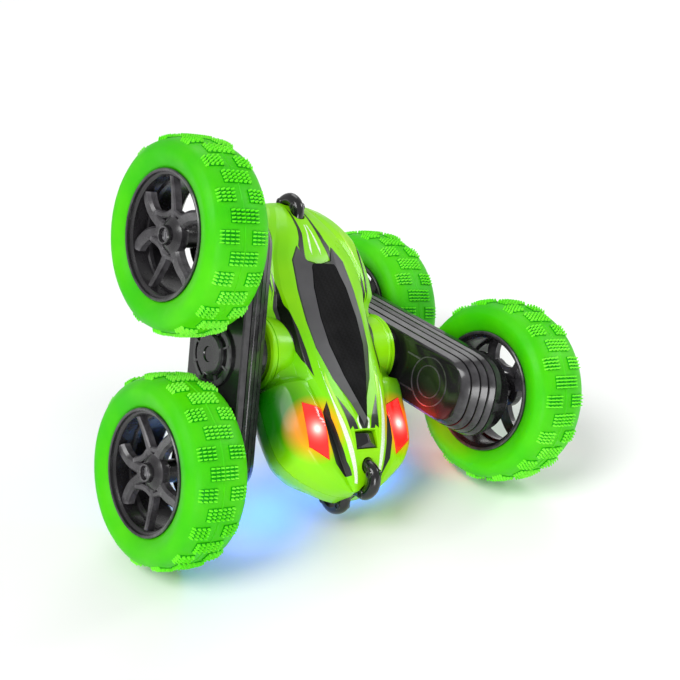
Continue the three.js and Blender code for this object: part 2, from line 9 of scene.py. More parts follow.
import bpy
import numpy as np
from mathutils import Matrix, Vector
from mathutils.bvhtree import BVHTree


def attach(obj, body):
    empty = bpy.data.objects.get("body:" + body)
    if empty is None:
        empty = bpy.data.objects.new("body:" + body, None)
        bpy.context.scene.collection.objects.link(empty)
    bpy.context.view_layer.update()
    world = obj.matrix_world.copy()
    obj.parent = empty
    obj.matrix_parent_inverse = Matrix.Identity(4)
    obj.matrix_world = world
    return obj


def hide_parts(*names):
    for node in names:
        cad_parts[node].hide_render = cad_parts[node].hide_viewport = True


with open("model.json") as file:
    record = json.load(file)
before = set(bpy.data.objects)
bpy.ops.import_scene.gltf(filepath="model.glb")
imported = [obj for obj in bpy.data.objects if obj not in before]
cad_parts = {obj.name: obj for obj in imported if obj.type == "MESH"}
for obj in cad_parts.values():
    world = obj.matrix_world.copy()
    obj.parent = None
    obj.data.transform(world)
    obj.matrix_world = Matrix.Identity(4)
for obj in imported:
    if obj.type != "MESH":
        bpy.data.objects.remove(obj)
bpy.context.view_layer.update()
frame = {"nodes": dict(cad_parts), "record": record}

MM = 0.001
RECORD = frame["record"]
JOINTS = {joint["name"]: joint for joint in RECORD["behaviour"]["joints"]}
MOUNTS = {mount["name"]: mount for mount in RECORD["mounts"]}
SIDES = ("left", "right")
ENDS = {"front": -1, "rear": 1}

# ------------------------------------------------------------------ driving dimensions, mm
ARM_X = 45.0          # where the arm joints' anchors lie, from the car's middle
WHEEL_X = 85.1
AXLE_Y = 58.0
TYRE_R = 49.0
TREAD_PITCH = 24.0    # degrees from one centre pad to the next
PIMPLE_H = 1.5
COLLAR_R = 20.1
COLLAR_X = 41.2
SLEEVE_HOLE_R = 10.2
SEAM_H = 0.15
WALL = 2.2
BUMPER_R = 3.5


# ------------------------------------------------------------------ frames
def joint_vector(name, key):
    return Vector(JOINTS[name][key])


def basis(x_axis, y_axis, z_axis, origin):
    columns = Matrix((x_axis * MM, y_axis * MM, z_axis * MM)).transposed().to_4x4()
    return Matrix.Translation(origin) @ columns


PIVOT_AXIS = joint_vector("left_arm_swing", "axis").normalized()
PIVOT = joint_vector("left_arm_swing", "pos_m") - PIVOT_AXIS * ARM_X * MM


def arm_frame(side):
    """x outboard, y to the rear axle, z up, from the pivot's middle. It is left-handed on the right arm."""
    front = joint_vector(f"{side}_front_wheel_spin", "pos_m")
    rear = joint_vector(f"{side}_rear_wheel_spin", "pos_m")
    back = (rear - front).normalized()
    outboard = PIVOT_AXIS if side == "left" else -PIVOT_AXIS
    return basis(outboard, back, PIVOT_AXIS.cross(back), PIVOT)


def body_frame(half):
    """x to the car's left, y to the tail, z out of that half's deck."""
    up = Vector(MOUNTS["canopy_top"]["axis"]).normalized()
    back = up.cross(PIVOT_AXIS)
    return basis(PIVOT_AXIS, back, up if half == "upper" else -up, PIVOT)


# ------------------------------------------------------------------ mesh tools, in local millimetres
class Shape:
    """Vertices and faces that grow part by part."""

    def __init__(self):
        self.verts = []
        self.faces = []
        self.slots = []

    def add(self, verts, faces, slot=0):
        base = len(self.verts)
        self.verts.extend(tuple(v) for v in verts)
        self.faces.extend(tuple(base + i for i in face) for face in faces)
        self.slots.extend([slot] * len(faces))
        return self

    def moved(self, offset):
        copy = Shape()
        copy.add([tuple(np.add(v, offset)) for v in self.verts], self.faces)
        copy.slots = list(self.slots)
        return copy


def outward(verts, faces):
    """The faces of a closed mesh, turned so that its volume is positive."""
    points = np.array(verts, dtype=float)
    volume = 0.0
    for face in faces:
        a = points[face[0]]
        for b, c in zip(face[1:], face[2:]):
            volume += np.dot(a, np.cross(points[b], points[c]))
    return [tuple(reversed(f)) for f in faces] if volume < 0 else list(faces)


def loft(rings, closed_ends=True):
    """Rings of equal length joined side by side, with an end cap on each end."""
    count = len(rings[0])
    verts = [tuple(p) for ring in rings for p in ring]
    faces = []
    for r in range(len(rings) - 1):
        for i in range(count):
            j = (i + 1) % count
            faces.append((r * count + i, r * count + j, (r + 1) * count + j, (r + 1) * count + i))
    if closed_ends:
        faces.append(tuple(reversed(range(count))))
        faces.append(tuple(range((len(rings) - 1) * count, len(rings) * count)))
    return verts, outward(verts, faces)


def lathe(profile, steps, centre=(0, 0)):
    """A closed (x, r) profile turned about the x axis through centre (y, z)."""
    verts, faces = [], []
    for i in range(steps):
        turn = 2 * math.pi * i / steps
        for x, r in profile:
            verts.append((x, centre[0] + r * math.cos(turn), centre[1] + r * math.sin(turn)))
    count = len(profile)
    for i in range(steps):
        k = (i + 1) % steps
        for j in range(count):
            m = (j + 1) % count
            faces.append((i * count + j, i * count + m, k * count + m, k * count + j))
    return verts, outward(verts, faces)


def disc(profile, steps, centre=(0, 0)):
    """An open (x, r) profile turned about the x axis, closed by a flat cap at both of its ends."""
    rings = []
    for x, r in profile:
        turns = [2 * math.pi * i / steps for i in range(steps)]
        rings.append([(x, centre[0] + r * math.cos(t), centre[1] + r * math.sin(t)) for t in turns])
    return loft(rings)


def prism(outline, low, high, along="z"):
    """An outline as a straight solid. Points are (x, y) along z, and (y, z) along x."""
    if along == "z":
        rings = [[(x, y, h) for x, y in outline] for h in (low, high)]
    else:
        rings = [[(h, y, z) for y, z in outline] for h in (low, high)]
    return loft(rings)


def mirror_x(outline):
    return [(-x, y) for x, y in outline]


def pchip(knots, values, at):
    """Smooth interpolation that never overshoots its knots."""
    knots, values, at = np.array(knots, float), np.array(values, float), np.array(at, float)
    step = np.diff(knots)
    slope = np.diff(values) / step
    tangent = np.zeros_like(values)
    tangent[0], tangent[-1] = slope[0], slope[-1]
    for i in range(1, len(knots) - 1):
        if slope[i - 1] * slope[i] > 0:
            tangent[i] = 2 / (1 / slope[i - 1] + 1 / slope[i])
    i = np.clip(np.searchsorted(knots, at) - 1, 0, len(step) - 1)
    t = (at - knots[i]) / step[i]
    return (
        (2 * t**3 - 3 * t**2 + 1) * values[i]
        + (t**3 - 2 * t**2 + t) * step[i] * tangent[i]
        + (3 * t**2 - 2 * t**3) * values[i + 1]
        + (t**3 - t**2) * step[i] * tangent[i + 1]
    )


def rounded(points, shares, steps=4):
    """An open polyline with each inner corner turned into a short curve. A share is how far it reaches."""
    result = [points[0]]
    for before, corner, after, share in zip(points, points[1:], points[2:], shares):
        corner = np.array(corner, float)
        start = corner + (np.array(before) - corner) * share
        end = corner + (np.array(after) - corner) * share
        for i in range(steps + 1):
            t = i / steps
            result.append(tuple((1 - t) ** 2 * start + 2 * t * (1 - t) * corner + t**2 * end))
    result.append(points[-1])
    return result


def temporary(verts, faces):
    mesh = bpy.data.meshes.new("temporary")
    mesh.from_pydata(verts, [], faces)
    obj = bpy.data.objects.new("temporary", mesh)
    bpy.context.collection.objects.link(obj)
    return obj


def combine(solid, tools, operation="DIFFERENCE"):
    """A closed (verts, faces) solid cut by, or joined with, other closed solids."""
    body = temporary(*solid)
    helpers = [temporary(*tool) for tool in tools]
    for helper in helpers:
        cut = body.modifiers.new("cut", "BOOLEAN")
        cut.operation = operation
        cut.solver = "MANIFOLD"
        cut.object = helper
    graph = bpy.context.evaluated_depsgraph_get()
    result = body.evaluated_get(graph).to_mesh()
    verts = [tuple(v.co) for v in result.vertices]
    faces = [tuple(p.vertices) for p in result.polygons]
    body.evaluated_get(graph).to_mesh_clear()
    for obj in (body, *helpers):
        bpy.data.objects.remove(obj)
    return verts, faces


def piece(name, shape, place, body, materials, replaced=(), sharp=32, bevel=0.0, bevel_angle=40):
    """A finished piece of the car: a shape carried into the row frame, on its body."""
    mesh = bpy.data.meshes.new(name)
    verts = [tuple(place @ Vector(v)) for v in shape.verts]
    flip = place.determinant() < 0
    faces = [tuple(reversed(f)) for f in shape.faces] if flip else shape.faces
    mesh.from_pydata(verts, [], faces)
    for material in materials:
        mesh.materials.append(material)
    mesh.polygons.foreach_set("material_index", shape.slots)
    mesh.shade_smooth()
    mesh.set_sharp_from_angle(angle=math.radians(sharp))
    mesh.update()
    obj = bpy.data.objects.new(name, mesh)
    bpy.context.collection.objects.link(obj)
    if bevel:
        modifier = obj.modifiers.new("edges", "BEVEL")
        modifier.width = bevel * MM
        modifier.segments = 2
        modifier.limit_method = "ANGLE"
        modifier.angle_limit = math.radians(bevel_angle)
        modifier.harden_normals = False
    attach(obj, body)
    if replaced:
        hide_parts(*replaced)
    return obj


# ------------------------------------------------------------------ materials
def srgb(red, green, blue):
    """An 8-bit screen colour as linear RGBA."""
    def linear(value):
        value /= 255
        return value / 12.92 if value <= 0.04045 else ((value + 0.055) / 1.055) ** 2.4
    return (linear(red), linear(green), linear(blue), 1.0)


class Nodes:
    """Short names for building one material's node tree."""

    def __init__(self, name):
        self.material = bpy.data.materials.new(name)
        self.material.use_nodes = True
        self.tree = self.material.node_tree
        self.shader = self.tree.nodes["Principled BSDF"]
        self.coords = self.tree.nodes.new("ShaderNodeTexCoord").outputs["Object"]

    def node(self, kind, values=None, **settings):
        made = self.tree.nodes.new(kind)
        for key, value in settings.items():
            setattr(made, key, value)
        for key, value in (values or {}).items():
            self.feed(made.inputs[key], value)
        return made

    def feed(self, socket, value):
        if isinstance(value, bpy.types.NodeSocket):
            self.tree.links.new(value, socket)
        else:
            socket.default_value = value

    def noise(self, scale, detail=3.0, rough=0.5):
        made = self.node("ShaderNodeTexNoise", {"Vector": self.coords, "Scale": scale, "Detail": detail})
        made.inputs["Roughness"].default_value = rough
        return made.outputs["Fac"]

    def ramp(self, fac, low, high, low_at=0.35, high_at=0.65):
        made = self.node("ShaderNodeValToRGB", {"Fac": fac})
        made.color_ramp.elements[0].position = low_at
        made.color_ramp.elements[0].color = low
        made.color_ramp.elements[1].position = high_at
        made.color_ramp.elements[1].color = high
        return made.outputs["Color"]

    def spread(self, fac, low, high, source=(0.3, 0.7)):
        values = {"Value": fac, "From Min": source[0], "From Max": source[1], "To Min": low, "To Max": high}
        return self.node("ShaderNodeMapRange", values).outputs["Result"]

    def math(self, operation, a, b=0.0):
        made = self.node("ShaderNodeMath", operation=operation)
        self.feed(made.inputs[0], a)
        self.feed(made.inputs[1], b)
        return made.outputs["Value"]

    def mix(self, fac, a, b):
        made = self.node("ShaderNodeMix", data_type="RGBA")
        self.feed(made.inputs["Factor"], fac)
        self.feed(made.inputs[6], a)
        self.feed(made.inputs[7], b)
        return made.outputs[2]

    def distance(self, centre):
        made = self.node("ShaderNodeVectorMath", {0: self.coords, 1: tuple(centre)}, operation="DISTANCE")
        return made.outputs["Value"]

    def bump(self, height, strength, distance, under=None):
        values = {"Height": height, "Strength": strength, "Distance": distance}
        if under is not None:
            values["Normal"] = under
        return self.node("ShaderNodeBump", values).outputs["Normal"]

    def shine(self, **sockets):
        for key, value in sockets.items():
            self.feed(self.shader.inputs[key.replace("_", " ")], value)
        return self.material


def moulded(name, dark, light, rough=(0.25, 0.4), coat=0.3, grain=900.0, grain_depth=0.00004, wear_and_edge_highlight=None):
    """Injection-moulded plastic: faint flow variation, a fine grain, and optional pale sharp edges in
    patches, partly rubbed wear and partly a painted edge highlight.
    """
    n = Nodes(name)
    colour = n.ramp(n.noise(38.0, 4.0), dark, light)
    # Pale sharp edges in patches: partly rubbed wear, partly a painted edge highlight.
    if wear_and_edge_highlight:
        edges = n.spread(n.node("ShaderNodeNewGeometry").outputs["Pointiness"], 0.0, 1.0, (0.53, 0.6))
        patchy = n.math("MULTIPLY", edges, n.spread(n.noise(160.0), 0.1, 0.8))
        colour = n.mix(patchy, colour, wear_and_edge_highlight)
    normal = n.bump(n.noise(grain, 2.0), 0.35, grain_depth)
    normal = n.bump(n.noise(70.0, 2.0), 0.12, 0.0002, normal)
    roughness = n.spread(n.noise(120.0, 5.0), *rough)
    n.shine(Specular_IOR_Level=0.4)
    n.shine(Base_Color=colour, Roughness=roughness, Normal=normal)
    return n.shine(Coat_Weight=coat, Coat_Roughness=0.12)


def rubber(name, dark, light):
    """Soft dyed rubber with a matt skin, dusty patches and a little light passing through."""
    n = Nodes(name)
    colour = n.ramp(n.noise(26.0, 5.0), dark, light)
    normal = n.bump(n.noise(700.0, 3.0), 0.4, 0.00006)
    roughness = n.spread(n.noise(90.0, 4.0), 0.38, 0.58)
    n.shine(Base_Color=colour, Roughness=roughness, Normal=normal, Specular_IOR_Level=0.18)
    return n.shine(Subsurface_Weight=0.04, Subsurface_Scale=0.002)


def painted_shell(name, glows, painted_shade_spots):
    """Lime shell plastic with painted shade on the pods' flanks and a painted orange glow of lamp light round
    the upper lenses.
    """
    n = Nodes(name)
    colour = n.ramp(n.noise(16.0, 3.0), srgb(122, 216, 0), srgb(156, 230, 2))
    # Painted shade: the shell turns dark green towards each front pod's flank.
    for centre, radius in painted_shade_spots:
        near = n.spread(n.distance(centre), 0.92, 0.0, (radius * 0.35, radius))
        colour = n.mix(near, colour, srgb(4, 92, 0))
    # Painted lamp light: round the upper lenses the shell turns orange and glows, though the shell is no
    # lamp.
    glow = 0.0
    for centre, radius in glows:
        near = n.spread(n.distance(centre), 1.0, 0.0, (radius * 0.30, radius))
        glow = n.math("MAXIMUM", near, glow)
    colour = n.mix(glow, colour, srgb(255, 118, 20))
    normal = n.bump(n.noise(420.0, 2.0), 0.2, 0.00005)
    normal = n.bump(n.noise(30.0, 2.0), 0.08, 0.0005, normal)
    roughness = n.spread(n.noise(60.0, 4.0), 0.26, 0.38)
    n.shine(Base_Color=colour, Roughness=roughness, Normal=normal, Coat_Weight=0.2, Coat_Roughness=0.1)
    n.shine(Specular_IOR_Level=0.2)
    strength = n.math("MULTIPLY", n.math("POWER", glow, 2.0), 0.55)
    return n.shine(Emission_Color=srgb(255, 92, 10), Emission_Strength=strength)


def lamp_lens(name, centre, rim_colour, core_colour, strength):
    """A tinted lens with fine flutes, brightest over its lamp."""
    n = Nodes(name)
    near = n.spread(n.distance(centre), 1.0, 0.0, (0.0008, 0.0095))
    colour = n.mix(n.math("POWER", near, 2.0), rim_colour, core_colour)
    flutes = n.node("ShaderNodeTexWave", {"Vector": n.coords, "Scale": 260.0}, bands_direction="Y")
    normal = n.bump(flutes.outputs["Fac"], 0.25, 0.0002)
    hot = n.math("ADD", n.math("MULTIPLY", n.math("POWER", near, 4.0), strength), strength * 0.22)
    roughness = n.spread(n.noise(80.0), 0.08, 0.16)
    n.shine(Base_Color=rim_colour, Roughness=roughness, Normal=normal, Coat_Weight=0.6, Coat_Roughness=0.05)
    return n.shine(Emission_Color=colour, Emission_Strength=hot)


def print_film(name, dark, light, rough=0.28):
    """A printed graphic: ink with a faint dot grain under clear lacquer."""
    n = Nodes(name)
    dots = n.node("ShaderNodeTexVoronoi", {"Vector": n.coords, "Scale": 1400.0}).outputs["Distance"]
    colour = n.ramp(dots, light, dark, 0.1, 0.6)
    roughness = n.spread(n.noise(90.0), rough, rough + 0.1)
    normal = n.bump(n.noise(500.0), 0.15, 0.00004)
    return n.shine(Base_Color=colour, Roughness=roughness, Normal=normal, Coat_Weight=0.4, Coat_Roughness=0.1)


def brushed(name, colour, scale):
    """Metal with fine turning marks."""
    n = Nodes(name)
    stretched = n.node("ShaderNodeMapping", {"Vector": n.coords, "Scale": (1.0, 1.0, 14.0)}).outputs["Vector"]
    marks = n.node("ShaderNodeTexNoise", {"Vector": stretched, "Scale": scale, "Detail": 4.0}).outputs["Fac"]
    tint = n.mix(marks, tuple(c * 0.7 for c in colour[:3]) + (1.0,), colour)
    n.shine(Base_Color=tint, Metallic=1.0, Roughness=n.spread(marks, 0.22, 0.45))
    return n.shine(Normal=n.bump(marks, 0.3, 0.00005))


def woven_top(name):
    """The canopy's dark roof: polished black over a fine square weave."""
    n = Nodes(name)
    checks = n.node("ShaderNodeTexChecker", {"Vector": n.coords, "Scale": 620.0}).outputs["Fac"]
    colour = n.mix(n.math("MULTIPLY", checks, 0.5), srgb(8, 8, 9), srgb(20, 20, 22))
    normal = n.bump(checks, 0.12, 0.00005)
    roughness = n.spread(n.noise(60.0), 0.3, 0.42)
    return n.shine(Base_Color=colour, Roughness=roughness, Normal=normal, Specular_IOR_Level=0.03)


GREEN_RUBBER = rubber("green_rubber", srgb(54, 188, 0), srgb(80, 205, 0))
# Painted shade: the pads' floor is a darker copy of the green rubber, standing for the shade between the
# pimples.
GREEN_PAD_PAINTED_SHADE = rubber("green_pad_floor_painted_shade", srgb(0, 138, 0), srgb(8, 166, 0))
# Painted highlight: the pimples are a lighter, lit copy of the green rubber.
GREEN_TIP_PAINTED_HIGHLIGHT = rubber("green_pimple_painted_highlight", srgb(96, 236, 24), srgb(140, 250, 70))
CHARCOAL = moulded(
    "charcoal_plastic", srgb(22, 21, 23), srgb(40, 38, 41), (0.2, 0.32), 0.25, wear_and_edge_highlight=srgb(110, 108, 112))
ARM_PLASTIC = moulded(
    "arm_plastic", srgb(18, 17, 19), srgb(32, 31, 33), (0.14, 0.24), 0.3, wear_and_edge_highlight=srgb(90, 88, 92))
BLACK_PLASTIC = moulded(
    "black_plastic", srgb(9, 9, 10), srgb(20, 20, 22), (0.12, 0.22), 0.4, wear_and_edge_highlight=srgb(52, 52, 54))
# Painted reflection: the canopy's sloping facets are the same black plastic, made grey for the bright
# surroundings they reflect.
FACET_GREY_PAINTED_REFLECTION = moulded("facet_grey_painted_reflection", srgb(78, 77, 80), srgb(92, 91, 94), (0.34, 0.46), 0.0)
CANOPY_TOP = woven_top("canopy_roof")
INK_BLACK = print_film("ink_black", srgb(10, 12, 10), srgb(26, 30, 24))
INK_WHITE = print_film("ink_white", srgb(222, 238, 205), srgb(252, 255, 246))
INK_PALE = print_film("ink_pale_green", srgb(160, 228, 8), srgb(180, 238, 30))
ACETAL = moulded("acetal", srgb(214, 208, 190), srgb(236, 230, 214), (0.35, 0.5), 0.1)
STEEL = brushed("turned_steel", (0.62, 0.62, 0.64, 1.0), 240.0)
MOTOR_CAN = brushed("motor_can", (0.55, 0.56, 0.58, 1.0), 120.0)
BOARD_GREEN = moulded("solder_resist", srgb(10, 84, 44), srgb(22, 120, 66), (0.3, 0.5), 0.3)
BATTERY_BLUE = moulded("heat_shrink", srgb(24, 96, 196), srgb(52, 136, 232), (0.3, 0.45), 0.2)

# The carried-over CAD nodes keep their shape and get a finish by record slot.
NODE_FINISH = {
    "gear": ACETAL, "steel": STEEL, "motor": MOTOR_CAN, "board": BOARD_GREEN, "battery": BATTERY_BLUE,
    "arm_plastic": ARM_PLASTIC, "black_plastic": BLACK_PLASTIC,
}


def finish_cad_nodes():
    for part in RECORD["subparts"]:
        obj = frame["nodes"][part["node"]]
        material = NODE_FINISH.get(part["material_slot"])
        if material:
            obj.data.materials.clear()
            obj.data.materials.append(material)


# ------------------------------------------------------------------ wheels
# Half profiles, as (distance from the wheel's centre plane, radius).
CARCASS_HALF = [
    (12.6, 30.7), (13.9, 31.9), (14.6, 33.0), (16.2, 35.0), (17.3, 38.2), (17.57, 40.2), (17.2, 41.8),
    (15.4, 44.0), (14.6, 44.9), (11.6, 46.2), (8.0, 46.8), (0.55, 47.1), (0.25, 47.5),
]
CARCASS_INSIDE = [(11.0, 44.0), (14.2, 40.0), (10.4, 30.9)]
TREAD_TOP = [(0.0, 48.96), (5.3, 48.91), (11.6, 48.16), (14.2, 46.26)]


def tyre_profile():
    outside = CARCASS_HALF + [(-x, r) for x, r in reversed(CARCASS_HALF)]
    inside = [(-x, r) for x, r in reversed(CARCASS_INSIDE)] + CARCASS_INSIDE
    return outside + inside


def tread_top(x):
    xs, rs = zip(*TREAD_TOP)
    return float(np.interp(abs(x), xs, rs))


def wrapped(x, radius, degrees, y):
    turn = math.radians(degrees)
    return (WHEEL_X + x, y + radius * math.cos(turn), radius * math.sin(turn))


def tread_block(shape, y, x0, x1, middle, length, sink, top_inset, lift, slot, columns=1):
    """A raised patch over an arc of tread between two offsets. Its top stays lift under the tread's."""
    half = math.degrees(length / 2 / TYRE_R)
    inset = math.degrees(top_inset / TYRE_R)
    xs = [x0 + (x1 - x0) * i / columns for i in range(columns + 1)]
    rings = []
    for i, x in enumerate(xs):
        inner = x + (top_inset if i == 0 else -top_inset if i == columns else 0)
        top = tread_top(x) - lift
        rings.append([
            wrapped(x, top - sink, middle - half, y),
            wrapped(inner, top, middle - half + inset, y),
            wrapped(inner, top, middle + half - inset, y),
            wrapped(x, top - sink, middle + half, y),
        ])
    shape.add(*loft(rings), slot)


def tread_pad(shape, y, x0, x1, middle, columns, rows=4, length=7.4):
    """A patch of tread in darker green, painted shade between the pimples, and the grid of pimples standing
    on it.
    """
    # The pad's floor takes the first slot, the darker green of painted shade.
    tread_block(shape, y, x0, x1, middle, length, 1.2, 0.3, PIMPLE_H, 0, 4)
    pitch_x = (x1 - x0) / columns
    pitch_y = length / rows
    for i in range(columns):
        for j in range(rows):
            x = x0 + (i + 0.5) * pitch_x
            turn = middle + math.degrees((j - (rows - 1) / 2) * pitch_y / TYRE_R)
            reach = pitch_x * 0.27
            # Each pimple takes the second slot, the lighter green of painted highlight.
            tread_block(shape, y, x - reach, x + reach, turn, pitch_y * 0.52, PIMPLE_H + 0.15, 0.3, 0.0, 1)


def tyre(side, end, place, first_pad):
    y = ENDS[end] * AXLE_Y
    body = f"{side}_{end}_wheel"
    carcass = Shape().add(*lathe([(WHEEL_X + x, r) for x, r in tyre_profile()], 120, (y, 0)))
    node = f"{side}_{end}_tyre"
    piece(f"{node}_carcass", carcass, place, body, [GREEN_RUBBER], [node], sharp=50)
    tread = Shape()
    for k in range(round(360 / TREAD_PITCH)):
        middle = first_pad + k * TREAD_PITCH
        tread_pad(tread, y, -8.0, 8.0, middle, 6)
        for low, high in ((3.7, 13.9), (-13.9, -3.7)):
            tread_pad(tread, y, low, high, middle + TREAD_PITCH / 2, 4)
    piece(f"{node}_tread", tread, place, body, [GREEN_PAD_PAINTED_SHADE, GREEN_TIP_PAINTED_HIGHLIGHT], sharp=60)


def swept_bar(path, widths, tops, depth, chamfer=0.9):
    """A bar along a path of (y, z) points in the wheel's plane, with a chamfered outer face at x = tops."""
    rings = []
    for i, (y, z) in enumerate(path):
        before = np.array(path[max(i - 1, 0)])
        after = np.array(path[min(i + 1, len(path) - 1)])
        along = (after - before) / np.linalg.norm(after - before)
        across = np.array((-along[1], along[0]))
        half = widths[i] / 2
        section = [
            (-half, -depth), (half, -depth), (half, -chamfer), (half - chamfer, 0),
            (-half + chamfer, 0), (-half, -chamfer),
        ]
        rings.append([(tops[i] + dx, y + u * across[0], z + u * across[1]) for u, dx in section])
    return loft(rings)


def polar_path(stations, y, turn, steps=5):
    """A smooth path through (radius, degrees) stations, turned as a whole."""
    knots = np.arange(len(stations))
    at = np.linspace(0, len(stations) - 1, (len(stations) - 1) * steps + 1)
    radii = pchip(knots, [s[0] for s in stations], at)
    angles = np.radians(pchip(knots, [s[1] for s in stations], at) + turn)
    return [(y + r * math.cos(a), r * math.sin(a)) for r, a in zip(radii, angles)], at / at[-1]


# Spokes of one half of a rim, mirrored about its axis: stations (radius, degrees off the axis), width at the
# hub, width at the barrel, depth and chamfer.
STEM = ([(4, 0), (8, 0), (13, 0)], 11.0, 9.0, 5.2, 1.4)
SPOKES = [
    ([(10, 8), (15, 12), (20, 16), (25, 23), (28.6, 30)], 6.4, 6.0, 4.8, 1.3),
    ([(5, 75), (11.5, 79), (20, 78), (28.6, 77)], 4.4, 2.4, 4.4, 0.7),
    ([(6, 118), (12, 126), (18, 134), (24, 141), (28.6, 143)], 7.0, 6.0, 4.8, 1.3),
    ([(11.5, 80), (10.8, 55), (12.5, 35), (17, 22)], 3.2, 3.2, 4.0, 0.7),
    ([(11, 82), (11, 105), (13, 125)], 3.0, 3.0, 4.0, 0.7),
]


def rim(side, end, place, turn):
    y = ENDS[end] * AXLE_Y
    shape = Shape()
    barrel = [
        (15.4, 31.3), (15.0, 31.8), (14.0, 31.8), (13.4, 30.3), (-13.4, 30.3), (-14.0, 31.8), (-15.0, 31.8),
        (-15.4, 31.3), (-15.2, 30.2), (-14.0, 29.4), (-13.2, 28.4), (2.0, 28.3), (2.4, 27.2), (4.6, 27.2),
        (5.0, 28.3), (12.6, 28.4), (13.4, 29.0), (13.7, 30.0), (15.0, 30.3),
    ]
    shape.add(*lathe([(WHEEL_X + x, r) for x, r in barrel], 96, (y, 0)))
    for stations, inner, outer, depth, chamfer in [STEM] + SPOKES:
        for sign in (1, -1) if stations is not STEM[0] else (1,):
            path, share = polar_path([(r, sign * a) for r, a in stations], y, turn)
            reach = np.array([math.hypot(py - y, pz) for py, pz in path]) / 28.6
            tops = WHEEL_X + 9.2 + 2.8 * reach**2
            shape.add(*swept_bar(path, inner + (outer - inner) * share, tops, depth, chamfer))
    hub = [
        (8.0, 9.2), (9.2, 9.0), (11.2, 6.2), (11.6, 5.0), (13.6, 4.7), (14.2, 4.3), (14.2, 3.6), (13.8, 3.4),
        (8.6, 3.4), (8.6, 2.4), (-8.0, 2.4), (-8.0, 5.6), (4.0, 6.0), (5.0, 8.8),
    ]
    shape.add(*lathe([(WHEEL_X + x, r) for x, r in hub], 40, (y, 0)))
    node = f"{side}_{end}_rim"
    piece(f"{node}_detailed", shape, place, f"{side}_{end}_wheel", [CHARCOAL], [node], sharp=34)


# ------------------------------------------------------------------ swing arms
# Bands across an arm: station, half width, reach of the round ends past the pivot.
INNER_BANDS = [
    (45.2, 16.0, 67.0), (45.8, 17.0, 68.1), (48.7, 18.3, 70.8), (48.8, 17.6, 70.1), (49.3, 17.7, 70.3),
    (49.4, 18.8, 71.5), (52.2, 20.0, 74.0), (52.3, 19.3, 73.3), (52.8, 19.4, 73.5), (52.9, 20.3, 74.6),
    (55.5, 21.2, 76.6), (55.9, 20.9, 76.3),
]
OUTER_BANDS = [
    (56.3, 20.9, 76.4), (56.6, 21.5, 77.2), (58.7, 22.3, 79.0), (58.8, 21.6, 78.3), (59.3, 21.6, 78.4),
    (59.4, 22.4, 79.3), (62.6, 22.5, 79.5), (63.4, 21.8, 78.8),
]


def arm_ring(x, half, reach, arc=24):
    """A slab's section with squared-off round ends."""
    ring = []
    for end in (1, -1):
        for i in range(arc + 1):
            turn = -math.pi / 2 + math.pi * i / arc
            along = abs(math.cos(turn)) ** 0.77 if i % arc else 0.0
            across = math.copysign(abs(math.sin(turn)) ** 0.77, turn)
            ring.append((x, end * (reach - half + half * along), end * half * across))
    return ring


def arm_inner_case(side, place):
    skin = loft([arm_ring(*band) for band in INNER_BANDS])
    pivot_disc = disc([(41.9, 12.0), (41.9, 15.6), (42.5, 16.3), (46.0, 16.3)], 64)
    sleeve = disc([(30.1, 9.4), (47.0, 9.4)], 40)
    joined = combine(skin, [pivot_disc, sleeve], "UNION")
    cavity = loft([arm_ring(47.2, 14.8, 65.6), arm_ring(57.0, 19.6, 75.0)])
    bore = disc([(29.0, 7.0), (48.5, 7.0)], 32)
    ring_groove = lathe([(41.0, 12.4), (41.0, 13.2), (42.6, 13.2), (42.6, 12.4)], 64)
    shape = Shape().add(*combine(joined, [cavity, bore, ring_groove]))
    # Shallow moulded rings and ribs on the inboard face, with no marks on them.
    for end in (1, -1):
        for radius in (8.0, 12.5):
            ring = [(45.5, radius), (44.9, radius + 0.2), (44.9, radius + 0.8), (45.5, radius + 1.0)]
            shape.add(*lathe(ring, 48, (end * 44.0, 0)))
        for z in (-9.0, 9.0):
            rib = [(end * 24.0, z - 0.5), (end * 34.0, z - 0.5), (end * 34.0, z + 0.5), (end * 24.0, z + 0.5)]
            shape.add(*prism(rib, 44.8, 45.6, "x"))
    node = f"{side}_arm_inner_case"
    piece(f"{node}_detailed", shape, place, f"{side}_arm", [ARM_PLASTIC], [node], sharp=28)


